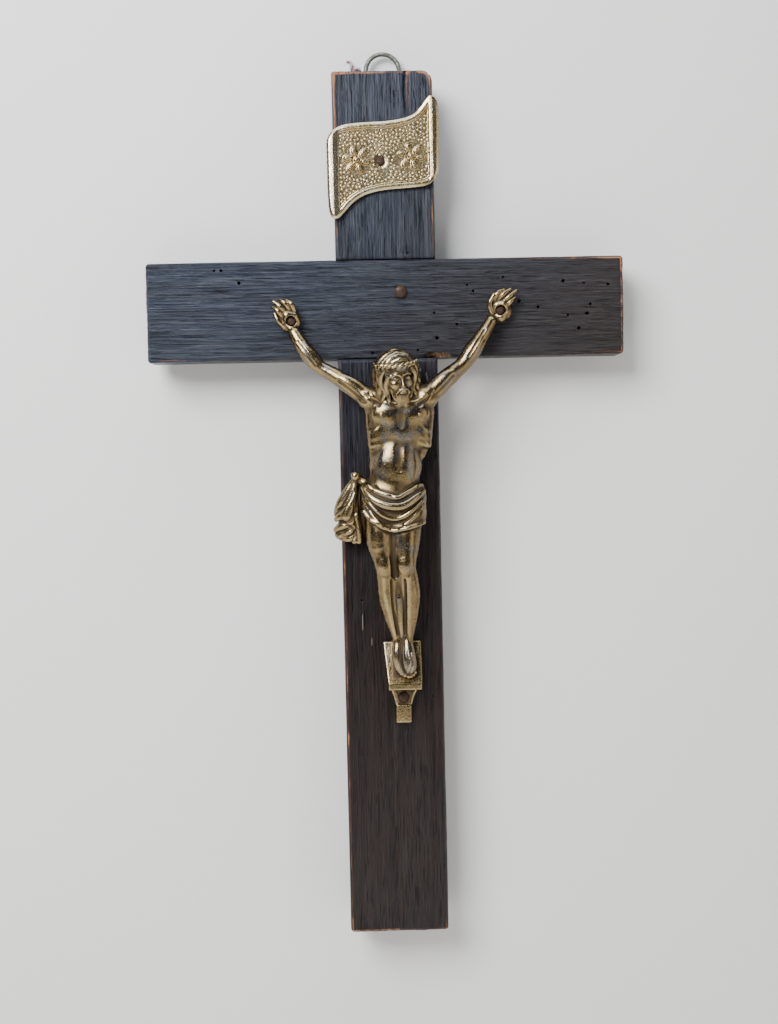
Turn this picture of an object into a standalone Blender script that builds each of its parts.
"""A small wall crucifix: two blackened boards halved together, a cast brass figure on three nails,
a pressed brass scroll plate on one nail, and a ring hanger on the back.

Metres, +Z up. The front faces -Y and the back, which goes against the wall, faces +Y. X runs to the
viewer's right. The pieces are drawn about the crossing of the boards, at the middle of the back face,
and one empty then carries them all so that the origin lies inside the top of the hanging ring.
Run with: blender --background --python part.py
"""

import math

import bmesh
import bpy
from mathutils import Matrix, Vector

MM = 0.001

# Boards
POST_LENGTH = 215.2 * MM
POST_WIDTH = 24.8 * MM
POST_SHIFT = -0.55 * MM  # of its middle from the ring and the figure
POST_ABOVE_BAR = 46.1 * MM  # from the bar's upper edge to the post's top end
BAR_LENGTH = 118.4 * MM
BAR_WIDTH = 24.4 * MM
BAR_RISE = 0.3 * MM
BAR_SHIFT = -0.7 * MM  # the bar was nailed a little off centre
WOOD_THICKNESS = 10.0 * MM
EDGE_ROUND = 1.1 * MM  # worn arrises
LAP_DEPTH = WOOD_THICKNESS / 2  # each board gives half its thickness at the crossing
GAP = 0.3 * MM  # between pieces that touch

# Nails: head radius, head height, shank radius, shank length
JOINT_NAIL = (1.55 * MM, 0.6 * MM, 0.65 * MM, 7.5 * MM)
HAND_NAIL = (1.15 * MM, 0.6 * MM, 0.55 * MM, 8.0 * MM)
FOOT_NAIL = (1.45 * MM, 0.7 * MM, 0.6 * MM, 8.0 * MM)
PLATE_NAIL = (1.0 * MM, 0.5 * MM, 0.5 * MM, 7.0 * MM)
TACK = (0.9 * MM, 0.4 * MM, 0.4 * MM, 5.0 * MM)
ROUND_SIDES = 12

# Scroll plate, about its own centre
PLATE_SHIFT = -0.7 * MM  # left of the post's middle
PLATE_RISE = 1.7 * MM  # above the middle of the post's upper arm
PLATE_NAIL_OFFSET = (-0.6 * MM, -0.8 * MM)  # from the plate's centre
PLATE_SHEET = 0.5 * MM
PLATE_RIM_HEIGHT = 0.5 * MM
PLATE_RIM_WIDTH = 1.7 * MM
# Half of the outline in millimetres, from the left side over the top to the right-hand tip. The other
# half is the same turned by 180 degrees. The last points are the rolled tip, which is raised all over.
PLATE_HALF = (
    (-13.8, -4.6), (-13.8, 3.6), (-12.8, 6.9), (-9.9, 8.4), (-4.8, 8.8), (0.6, 9.1),
    (5.6, 9.9), (9.0, 11.7), (11.6, 14.4), (13.2, 14.1), (13.9, 11.2),
)
PLATE_TIP_POINTS = 3

# Ring hanger. The eye is the fold of the strap that the ring turns in.
RING_WIRE = 0.6 * MM  # radius
RING_DROP = 1.2 * MM  # clear of the strap's foot when the ring hangs down over it
RING_SIDES = 32
STRAP_SHEET = 0.5 * MM
STRAP_WIDTH = 3.0 * MM
STRAP_END = 0.7 * MM  # of strap below the lower tack's head
EYE_BELOW_TOP = 1.5 * MM
EYE_PLAY = 0.12 * MM  # round the bent wire inside the eye
EYE_TO_TACK = 2.0 * MM  # from the eye's middle to the upper tack's head
UPPER_TACK = EYE_TO_TACK + TACK[0]  # below the eye
LOWER_TACK = UPPER_TACK + 2 * TACK[0] + GAP
STRAP_LENGTH = LOWER_TACK + TACK[0] + STRAP_END  # from the eye's middle to the strap's foot
RING_RADIUS = (STRAP_LENGTH + RING_DROP + RING_WIRE) / 2  # to the middle of the wire
RING_BEND = RING_RADIUS - math.sqrt(RING_RADIUS**2 - (STRAP_WIDTH / 2) ** 2)  # within the strap's width
STRAP_EYE = RING_WIRE + RING_BEND + EYE_PLAY  # radius

# Twine tied on the ring: a short tail, its turns round the ring's wire, then its run from there. The
# tail and run are in millimetres from the eye: (x, behind the wood, above the eye). All of it stays
# above the eye and close to the ring's plane, so that it clears the wood as the ring swings.
TWINE_RADIUS = 0.4 * MM
TWINE_PLAY = 0.15 * MM  # between the turn and the wire
TWINE_WRAP = RING_WIRE + TWINE_RADIUS + TWINE_PLAY  # radius of the turn
TWINE_AT = 56.0  # degrees round the ring from its lowest point
TWINE_TURNS = 2
TWINE_LEAD = 2 * TWINE_RADIUS + TWINE_PLAY  # how far each turn runs on along the wire
TWINE_TAIL = ((-6.2, 2.5, 0.5), (-4.8, 2.8, 0.6))
TWINE_RUN = (
    (-5.4, 2.5, 3.9), (-6.2, 1.5, 4.7), (-7.5, 0.9, 3.8), (-9.0, 0.8, 1.8), (-9.5, 1.1, 0.5),
    (-8.9, 2.0, 0.2), (-7.3, 2.6, 0.9), (-6.0, 2.7, 2.4), (-6.8, 2.6, 3.6), (-7.6, 2.4, 4.6),
    (-7.8, 2.3, 5.8), (-8.2, 2.2, 6.7), (-9.0, 2.1, 6.6),
)

POST_TOP = BAR_RISE + BAR_WIDTH / 2 + POST_ABOVE_BAR
PLATE_CENTRE = (PLATE_SHIFT, (BAR_WIDTH / 2 + POST_TOP) / 2 + PLATE_RISE)
FRONT = -WOOD_THICKNESS
EYE_Y = GAP + STRAP_SHEET + STRAP_EYE
EYE_Z = POST_TOP - EYE_BELOW_TOP
RING_CENTRE = Vector((0, EYE_Y, EYE_Z + RING_RADIUS))
HANGING_POINT = RING_CENTRE + Vector((0, 0, RING_RADIUS - RING_WIRE))

# Where the nails go, as (x, z)
JOINT_NAIL_AT = (3.0 * MM, 4.4 * MM)
LEFT_PALM = (-24.2 * MM, -2.5 * MM)  # the palm on the viewer's left
RIGHT_PALM = (27.4 * MM, -0.8 * MM)
LUG_HOLE = (1.6 * MM, -96.4 * MM)
PLATE_NAIL_AT = (PLATE_CENTRE[0] + PLATE_NAIL_OFFSET[0], PLATE_CENTRE[1] + PLATE_NAIL_OFFSET[1])
PALM_RELIEF = 1.9 * MM  # how far the nail's seat in the palm stands off the wood
LUG_RELIEF = 1.5 * MM
PLATE_RELIEF = GAP + PLATE_SHEET

# The cast figure, in millimetres: each chunk is the hull of some balls (x, off the wood, z, radius).
FIGURE_CHUNKS = {
    "skull": ((1.7, 9.2, -14.6, 4.0), (2.6, 10.0, -16.6, 3.5)),
    "hair": ((-1.2, 6.6, -15.6, 3.3), (4.6, 6.8, -15.4, 3.1), (1.6, 7.0, -13.8, 3.4),
             (-1.0, 6.4, -19.6, 2.0), (5.4, 6.4, -19.6, 1.9)),
    "beard": ((2.9, 10.4, -19.4, 2.2), (3.1, 9.6, -21.3, 1.5)),
    "neck": ((2.3, 6.6, -19.5, 2.3), (2.2, 5.8, -23.0, 2.9)),
    "chest": ((-2.2, 5.4, -25.0, 3.4), (5.9, 5.4, -25.2, 3.4), (1.8, 6.2, -25.0, 3.4),
              (-2.4, 5.2, -30.0, 3.0), (5.9, 5.2, -30.2, 3.0)),
    "belly": ((-2.0, 5.0, -33.0, 2.9), (5.0, 5.0, -33.0, 2.9), (-2.6, 4.9, -39.0, 3.1),
              (4.2, 4.9, -39.5, 3.1), (1.0, 6.0, -38.5, 3.1)),
    "hips": ((-3.2, 5.0, -44.0, 3.9), (3.6, 5.0, -44.4, 3.9), (-2.6, 5.2, -50.5, 4.0),
             (3.4, 5.2, -50.8, 3.9)),
    "left_upper_arm": ((-5.2, 5.3, -21.9, 2.9), (-11.6, 4.6, -17.8, 2.05)),
    "left_elbow": ((-11.6, 4.6, -17.8, 2.05), (-17.4, 3.8, -13.7, 1.65)),
    "left_forearm": ((-17.4, 3.8, -13.7, 1.65), (-20.9, 3.1, -9.4, 1.65)),
    "left_wrist": ((-20.9, 3.1, -9.4, 1.65), (-23.5, 2.1, -5.4, 1.25)),
    "left_palm": ((-23.5, 1.9, -5.2, 1.2), (-24.9, 1.5, -2.9, 1.4), (-23.2, 1.5, -2.0, 1.3),
                  (-25.5, 1.7, -0.6, 1.2)),
    "left_fingers": ((-25.3, 1.7, -0.6, 1.0), (-26.0, 2.2, 0.6, 1.0), (-28.0, 1.7, 2.3, 0.6)),
    "right_upper_arm": ((7.4, 5.3, -21.7, 2.9), (13.1, 4.6, -17.3, 2.15)),
    "right_elbow": ((13.1, 4.6, -17.3, 2.15), (18.1, 3.8, -13.4, 1.75)),
    "right_forearm": ((18.1, 3.8, -13.4, 1.75), (21.7, 3.1, -8.4, 1.75)),
    "right_wrist": ((21.7, 3.1, -8.4, 1.75), (25.3, 2.1, -3.5, 1.3)),
    "right_palm": ((25.3, 1.9, -3.5, 1.2), (26.6, 1.5, -0.6, 1.3), (28.2, 1.5, -1.2, 1.3),
                   (27.5, 1.7, 1.2, 1.3)),
    "right_fingers": ((27.5, 1.7, 1.4, 1.0), (28.6, 2.1, 2.6, 1.0), (30.9, 1.7, 3.1, 0.6)),
    "left_thigh": ((-2.6, 5.2, -50.5, 4.0), (-1.7, 6.6, -63.5, 2.7)),
    "left_shin": ((-1.7, 6.6, -63.5, 2.7), (-1.5, 5.2, -70.5, 2.7), (0.9, 4.2, -81.0, 1.4)),
    "right_thigh": ((3.4, 5.2, -50.8, 3.9), (3.0, 6.8, -63.2, 2.6)),
    "right_shin": ((3.0, 6.8, -63.2, 2.6), (3.5, 5.3, -70.0, 2.7), (2.7, 4.4, -81.5, 1.4)),
    "left_foot": ((0.6, 4.2, -81.0, 1.4), (0.4, 5.2, -86.6, 1.3), (1.2, 4.9, -89.0, 0.9)),
    "right_foot": ((2.5, 4.4, -81.5, 1.4), (3.3, 5.6, -86.2, 1.6), (2.9, 5.0, -89.6, 1.1)),
    "cloth": ((-5.5, 5.0, -43.4, 2.2), (5.3, 5.0, -45.2, 2.2), (5.1, 5.2, -52.0, 2.2),
              (-4.4, 5.2, -49.4, 2.2), (-0.8, 6.8, -46.6, 2.6), (1.8, 7.2, -51.2, 2.6)),
    "knot": ((-8.6, 4.6, -40.9, 1.3), (-6.0, 4.8, -41.8, 1.6)),
    "drape_top": ((-8.6, 4.4, -41.6, 1.0), (-12.2, 3.4, -48.4, 1.5), (-8.6, 3.8, -48.0, 1.5)),
    "drape_foot": ((-12.2, 3.4, -48.4, 1.5), (-8.8, 3.6, -48.0, 1.5), (-12.6, 3.2, -54.6, 1.5),
                   (-8.6, 3.2, -55.8, 1.4)),
    "footrest": ((-3.0, 1.0, -82.6, 0.5), (5.6, 1.0, -82.9, 0.5), (-1.8, 1.0, -93.6, 0.5),
                 (5.6, 1.0, -93.6, 0.5), (-1.8, 4.0, -92.7, 0.4), (5.7, 4.0, -92.7, 0.4),
                 (-1.8, 4.0, -93.8, 0.4), (5.7, 4.0, -93.8, 0.4)),
    "lug_neck": ((-1.0, 1.0, -94.2, 0.5), (4.4, 1.0, -94.2, 0.5), (0.3, 1.0, -98.0, 0.5),
                 (3.0, 1.0, -98.0, 0.5)),
    "lug_tab": ((0.3, 1.0, -97.8, 0.5), (3.0, 1.0, -97.8, 0.5), (0.4, 1.0, -102.4, 0.5),
                (2.9, 1.0, -102.4, 0.5)),
}
FIGURE_VOXEL = 0.5 * MM
FIGURE_FACE_SHARE = 0.085  # of the remeshed faces, kept by the decimation

PALETTE = {
    # name: (base colour, roughness, metallic)
    "blackened_wood": ((0.035, 0.033, 0.036, 1), 0.5, 0.0),
    "cast_brass": ((0.42, 0.33, 0.17, 1), 0.32, 1.0),
    "pressed_brass": ((0.56, 0.47, 0.26, 1), 0.35, 1.0),
    "rusted_iron": ((0.10, 0.055, 0.04, 1), 0.75, 0.4),
    "dull_steel": ((0.30, 0.32, 0.30, 1), 0.5, 0.9),
    "twine": ((0.62, 0.45, 0.46, 1), 0.95, 0.0),
}


def clear_scene():
    for obj in list(bpy.data.objects):
        bpy.data.objects.remove(obj)


def material(name):
    found = bpy.data.materials.get(name)
    if found:
        return found
    colour, roughness, metallic = PALETTE[name]
    made = bpy.data.materials.new(name)
    made.use_nodes = True
    shader = made.node_tree.nodes["Principled BSDF"]
    shader.inputs["Base Color"].default_value = colour
    shader.inputs["Roughness"].default_value = roughness
    shader.inputs["Metallic"].default_value = metallic
    return made


def add_object(name, data, finish, parent):
    """Links an object that is carried by parent. With no finish it is a cutter, which never shows."""
    obj = bpy.data.objects.new(name, data)
    bpy.context.scene.collection.objects.link(obj)
    obj.parent = parent
    if finish:
        data.materials.append(material(finish))
    else:
        obj.hide_render = True
        obj.display_type = "WIRE"
    return obj


def mesh_from(name, bm):
    bmesh.ops.recalc_face_normals(bm, faces=bm.faces)
    mesh = bpy.data.meshes.new(name)
    bm.to_mesh(mesh)
    bm.free()
    return mesh


def box_mesh(name, low, high):
    bm = bmesh.new()
    bmesh.ops.create_cube(bm, size=1)
    low, high = Vector(low), Vector(high)
    bmesh.ops.scale(bm, vec=high - low, verts=bm.verts)
    bmesh.ops.translate(bm, vec=(low + high) / 2, verts=bm.verts)
    return mesh_from(name, bm)


def turned_mesh(name, profile, sides=ROUND_SIDES):
    """A solid turned about the Y axis from (radius, y) points, which start and end on the axis."""
    bm = bmesh.new()
    outline = [bm.verts.new((radius, y, 0)) for radius, y in profile]
    edges = [bm.edges.new(pair) for pair in zip(outline, outline[1:])]
    bmesh.ops.spin(bm, geom=outline + edges, cent=(0, 0, 0), axis=(0, 1, 0),
                   angle=math.tau, steps=sides, use_merge=False)
    bmesh.ops.remove_doubles(bm, verts=bm.verts, dist=0.001 * MM)
    return mesh_from(name, bm)


def shade_round(obj):
    obj.data.shade_smooth()
    obj.data.set_sharp_from_angle(angle=math.radians(35))


def cut(obj, cutter):
    """Takes cutter away from obj, exactly."""
    boolean = obj.modifiers.new("cut_" + cutter.name, "BOOLEAN")
    boolean.operation = "DIFFERENCE"
    boolean.object = cutter


def board(name, low, high, parent):
    obj = add_object(name, box_mesh(name, low, high), "blackened_wood", parent)
    worn = obj.modifiers.new("worn_edges", "BEVEL")
    worn.width = EDGE_ROUND
    worn.segments = 2
    return obj


def cutter_box(name, low, high, parent):
    return add_object(name, box_mesh(name, low, high), None, parent)


def bore(name, at, y_front, y_back, radius, parent):
    """A cutter along Y through (x, z)."""
    profile = ((0, y_front), (radius, y_front), (radius, y_back), (0, y_back))
    obj = add_object(name, turned_mesh(name, profile), None, parent)
    obj.location = (at[0], 0, at[1])
    return obj


def nail(name, size, at, seat, parent, into=1):
    """A round nail along Y whose head sits on the plane y = seat and whose shank runs towards +Y,
    or towards -Y with into = -1."""
    head_radius, head_height, shank_radius, shank_length = size
    point = 2.5 * shank_radius
    profile = (
        (0, -head_height),
        (0.62 * head_radius, -0.8 * head_height),
        (head_radius, -0.25 * head_height),
        (head_radius, 0),
        (shank_radius, 0),
        (shank_radius, shank_length - point),
        (0, shank_length),
    )
    mesh = turned_mesh(name, [(radius, into * y) for radius, y in profile])
    obj = add_object(name, mesh, "rusted_iron", parent)
    obj.location = (at[0], seat, at[1])
    shade_round(obj)
    return obj


def nail_hole(piece, size, at, seat, parent, into=1):
    """Bores piece for the nail's shank, a gap wider and longer than the shank."""
    _, _, shank_radius, shank_length = size
    ends = (seat - into * GAP, seat + into * (shank_length + GAP))
    hole = bore(f"bore_{piece.name}_{len(piece.modifiers)}", at, min(ends), max(ends),
                shank_radius + GAP, parent)
    cut(piece, hole)


def build_boards(parent):
    left, right = POST_SHIFT - POST_WIDTH / 2, POST_SHIFT + POST_WIDTH / 2
    under, over = BAR_RISE - BAR_WIDTH / 2, BAR_RISE + BAR_WIDTH / 2
    post = board("upright", (left, FRONT, POST_TOP - POST_LENGTH), (right, 0, POST_TOP), parent)
    bar = board("crossbar", (BAR_SHIFT - BAR_LENGTH / 2, FRONT, under),
                (BAR_SHIFT + BAR_LENGTH / 2, 0, over), parent)
    lap = FRONT + LAP_DEPTH
    reach = POST_WIDTH  # past both sides of the board that is cut
    cut(post, cutter_box("post_notch", (-reach, FRONT - reach, under - GAP),
                         (reach, lap + GAP / 2, over + GAP), parent))
    cut(bar, cutter_box("bar_notch", (left - GAP, lap - GAP / 2, -BAR_WIDTH),
                        (right + GAP, reach, BAR_WIDTH), parent))
    return post, bar


def chunk_mesh(balls):
    """One convex hull round balls given as (x, off the wood, z, radius) in millimetres."""
    bm = bmesh.new()
    for x, off_wood, z, radius in balls:
        place = Matrix.Translation((x * MM, FRONT - off_wood * MM, z * MM))
        bmesh.ops.create_icosphere(bm, subdivisions=2, radius=radius * MM, matrix=place)
    bmesh.ops.delete(bm, geom=list(bm.edges), context="EDGES_FACES")
    hull = bmesh.ops.convex_hull(bm, input=list(bm.verts), use_existing_faces=False)
    inner = [g for g in hull["geom_interior"] if isinstance(g, bmesh.types.BMVert)]
    bmesh.ops.delete(bm, geom=inner, context="VERTS")
    return mesh_from("chunk", bm)


def figure_mesh(name):
    """Every chunk's hull in one mesh, still overlapping."""
    bm = bmesh.new()
    for balls in FIGURE_CHUNKS.values():
        bm.from_mesh(chunk_mesh(balls))
    return mesh_from(name, bm)


def build_figure(parent):
    """The casting, blended by remeshing, flat behind, and bored and dished for its three nails."""
    figure = add_object("corpus", figure_mesh("corpus"), "cast_brass", parent)
    blend = figure.modifiers.new("blend", "REMESH")
    blend.mode = "VOXEL"
    blend.voxel_size = FIGURE_VOXEL
    soften = figure.modifiers.new("soften", "SMOOTH")
    soften.factor = 0.5
    soften.iterations = 2
    fewer = figure.modifiers.new("fewer_faces", "DECIMATE")
    fewer.ratio = FIGURE_FACE_SHARE
    behind = cutter_box("behind_figure", (-BAR_LENGTH, FRONT - GAP, -POST_LENGTH),
                        (BAR_LENGTH, WOOD_THICKNESS, POST_LENGTH), parent)
    cut(figure, behind)
    for size, at, relief in ((HAND_NAIL, LEFT_PALM, PALM_RELIEF), (HAND_NAIL, RIGHT_PALM, PALM_RELIEF),
                             (FOOT_NAIL, LUG_HOLE, LUG_RELIEF)):
        head_radius, head_height, shank_radius, _ = size
        seat = FRONT - relief
        dish = bore(f"dish_{len(figure.modifiers)}", at, seat - 6 * head_height, seat + GAP,
                    head_radius + GAP, parent)
        cut(figure, dish)
        shank = bore(f"shank_{len(figure.modifiers)}", at, seat - GAP, FRONT + GAP,
                     shank_radius + GAP, parent)
        cut(figure, shank)
    return figure


def plate_outline():
    turned = [(-x, -z) for x, z in PLATE_HALF]
    return [(x * MM, z * MM) for x, z in list(PLATE_HALF) + turned]


def field_outline(points, distance):
    """The sunk field: the outline moved in by distance along each point's inward normal, tips left out."""
    moved = []
    for i, here in enumerate(points):
        if i % len(PLATE_HALF) >= len(PLATE_HALF) - PLATE_TIP_POINTS:
            continue
        before, after = Vector(points[i - 1]), Vector(points[(i + 1) % len(points)])
        along = (after - before).normalized()
        moved.append(Vector(here) + distance * Vector((along.y, -along.x)))
    return moved


def as_mesh(name, curve):
    """The curve's solid as one closed mesh."""
    shape = bpy.data.objects.new(name + "_curve", curve)
    bpy.context.scene.collection.objects.link(shape)
    bpy.context.view_layer.update()
    solid = bpy.data.meshes.new_from_object(shape.evaluated_get(bpy.context.evaluated_depsgraph_get()))
    bpy.data.objects.remove(shape)
    bm = bmesh.new()
    bm.from_mesh(solid)
    bmesh.ops.remove_doubles(bm, verts=bm.verts, dist=0.001 * MM)
    return mesh_from(name, bm)


def filled_curve(name, loops, half_thickness, finish, parent, smooth=True):
    """A flat sheet in its own XY plane, bounded by closed loops, the inner ones being holes."""
    curve = bpy.data.curves.new(name, "CURVE")
    curve.dimensions = "2D"
    curve.fill_mode = "BOTH"
    curve.extrude = half_thickness
    curve.resolution_u = 3
    for points in loops:
        spline = curve.splines.new("BEZIER" if smooth else "POLY")
        if smooth:
            spline.bezier_points.add(len(points) - 1)
            for knot, (x, y) in zip(spline.bezier_points, points):
                knot.co = (x, y, 0)
                knot.handle_left_type = knot.handle_right_type = "AUTO"
        else:
            spline.points.add(len(points) - 1)
            for knot, (x, y) in zip(spline.points, points):
                knot.co = (x, y, 0, 1)
        spline.use_cyclic_u = True
    return add_object(name, as_mesh(name, curve), finish, parent)


def build_plate(parent):
    """The scroll plate: a sheet with a raised rim, standing a gap off the wood."""
    outline = plate_outline()
    whole = PLATE_SHEET + PLATE_RIM_HEIGHT
    plate = filled_curve("titulus_plate", [outline], whole / 2, "pressed_brass", parent)
    field = filled_curve("plate_field", [field_outline(outline, PLATE_RIM_WIDTH)], whole, None, parent)
    upright = Matrix.Rotation(math.radians(90), 4, "X")
    x, z = PLATE_CENTRE
    plate.matrix_local = Matrix.Translation((x, FRONT - GAP - whole / 2, z)) @ upright
    field.matrix_local = Matrix.Translation((x, FRONT - GAP - PLATE_SHEET - whole, z)) @ upright
    cut(plate, field)
    shank_radius = PLATE_NAIL[2]
    cut(plate, bore("plate_hole", PLATE_NAIL_AT, FRONT - 3 * whole, FRONT, shank_radius + GAP, parent))
    return plate


def circle(centre, radius, sides, start=0.0, stop=math.tau):
    """Points on an arc, the far end left out on a full circle."""
    count = sides if stop - start >= math.tau else sides + 1
    step = (stop - start) / sides
    return [(centre[0] + radius * math.cos(start + i * step),
             centre[1] + radius * math.sin(start + i * step)) for i in range(count)]


def build_hanger(parent, ring_pivot):
    """The folded strap with the ring in its eye, and the tacks that hold the strap."""
    outer = STRAP_EYE + STRAP_SHEET
    eye = (EYE_Y, EYE_Z)
    foot = EYE_Z - STRAP_LENGTH
    layers = GAP + 2 * STRAP_SHEET
    profile = circle(eye, outer, ROUND_SIDES, math.radians(-40), math.radians(180))
    profile += [(GAP, foot), (layers, foot), (layers, EYE_Z - outer - STRAP_SHEET)]
    hole = circle(eye, STRAP_EYE, ROUND_SIDES)
    strap = filled_curve("hanger_strap", [profile, hole], STRAP_WIDTH / 2, "dull_steel", parent, False)
    # The profile is drawn as (y, z) in the sheet's own plane, which stands across X.
    strap.matrix_local = Matrix(((0, 0, 1, 0), (1, 0, 0, 0), (0, 1, 0, 0), (0, 0, 0, 1)))
    tacks = []
    for label, drop in (("upper", UPPER_TACK), ("lower", LOWER_TACK)):
        at = (0, EYE_Z - drop)
        nail_hole(strap, TACK, at, layers, parent, into=-1)
        tacks.append((at, nail(f"hanger_tack_{label}", TACK, at, layers + GAP, parent, into=-1)))
    bm = bmesh.new()
    section = bmesh.ops.create_circle(bm, segments=8, radius=RING_WIRE,
                                      matrix=Matrix.Translation((RING_RADIUS, 0, 0)) @
                                      Matrix.Rotation(math.radians(90), 4, "X"))["verts"]
    edges = list({e for v in section for e in v.link_edges})
    bmesh.ops.spin(bm, geom=section + edges, cent=(0, 0, 0), axis=(0, 0, 1), angle=math.tau,
                   steps=RING_SIDES, use_merge=False)
    bmesh.ops.remove_doubles(bm, verts=bm.verts, dist=0.001 * MM)
    ring = add_object("hanging_ring", mesh_from("hanging_ring", bm), "dull_steel", ring_pivot)
    ring.matrix_local = (Matrix.Translation((0, 0, RING_RADIUS)) @
                         Matrix.Rotation(math.radians(90), 4, "X"))
    shade_round(ring)
    return tacks


def build_twine(ring_pivot):
    """Turns round the left of the ring's wire, with a short tail and a longer curl."""
    angle = math.radians(TWINE_AT)
    at = Vector((-RING_RADIUS * math.sin(angle), 0, RING_RADIUS * (1 - math.cos(angle))))
    along = Vector((-math.cos(angle), 0, math.sin(angle)))
    outward = Vector((-math.sin(angle), 0, -math.cos(angle)))
    back = Vector((0, 1, 0))

    def from_eye(point):
        x, behind, above = point
        return Vector((x * MM, behind * MM - EYE_Y, above * MM))

    path = [from_eye(point) for point in TWINE_TAIL]
    for quarter in range(4 * TWINE_TURNS + 1):
        turn = quarter * math.pi / 2
        lead = TWINE_LEAD * (quarter / 4 - TWINE_TURNS / 2)
        path.append(at + along * lead +
                    TWINE_WRAP * (back * math.cos(turn) - outward * math.sin(turn)))
    path += [from_eye(point) for point in TWINE_RUN]
    curve = bpy.data.curves.new("hanging_twine", "CURVE")
    curve.dimensions = "3D"
    curve.bevel_depth = TWINE_RADIUS
    curve.bevel_resolution = 2
    curve.resolution_u = 4
    curve.use_fill_caps = True
    spline = curve.splines.new("BEZIER")
    spline.bezier_points.add(len(path) - 1)
    for knot, point in zip(spline.bezier_points, path):
        knot.co = point
        knot.handle_left_type = knot.handle_right_type = "AUTO"
    add_object("hanging_twine", as_mesh("hanging_twine", curve), "twine", ring_pivot)


def build_nails(post, bar, parent):
    """Every nail in its own bore. The hand nails go into the bar, the foot and plate nails into the post."""
    nail("joint_nail", JOINT_NAIL, JOINT_NAIL_AT, FRONT - GAP, parent)
    nail_hole(bar, JOINT_NAIL, JOINT_NAIL_AT, FRONT - GAP, parent)
    nail_hole(post, JOINT_NAIL, JOINT_NAIL_AT, FRONT - GAP, parent)
    for name, at in (("hand_nail_left", LEFT_PALM), ("hand_nail_right", RIGHT_PALM)):
        nail(name, HAND_NAIL, at, FRONT - PALM_RELIEF, parent)
        nail_hole(bar, HAND_NAIL, at, FRONT - PALM_RELIEF, parent)
    nail("foot_nail", FOOT_NAIL, LUG_HOLE, FRONT - LUG_RELIEF, parent)
    nail_hole(post, FOOT_NAIL, LUG_HOLE, FRONT - LUG_RELIEF, parent)
    seat = FRONT - PLATE_RELIEF - GAP
    nail("titulus_nail", PLATE_NAIL, PLATE_NAIL_AT, seat, parent)
    nail_hole(post, PLATE_NAIL, PLATE_NAIL_AT, seat, parent)


def main():
    clear_scene()
    carrier = bpy.data.objects.new("crucifix", None)
    bpy.context.scene.collection.objects.link(carrier)
    carrier.location = -HANGING_POINT
    ring_pivot = bpy.data.objects.new("ring_pivot", None)
    bpy.context.scene.collection.objects.link(ring_pivot)
    ring_pivot.parent = carrier
    ring_pivot.location = (0, EYE_Y, EYE_Z)

    post, bar = build_boards(carrier)
    build_nails(post, bar, carrier)
    for at, _ in build_hanger(carrier, ring_pivot):
        nail_hole(post, TACK, at, GAP + 2 * STRAP_SHEET + GAP, carrier, into=-1)
    build_twine(ring_pivot)
    build_plate(carrier)
    build_figure(carrier)


main()
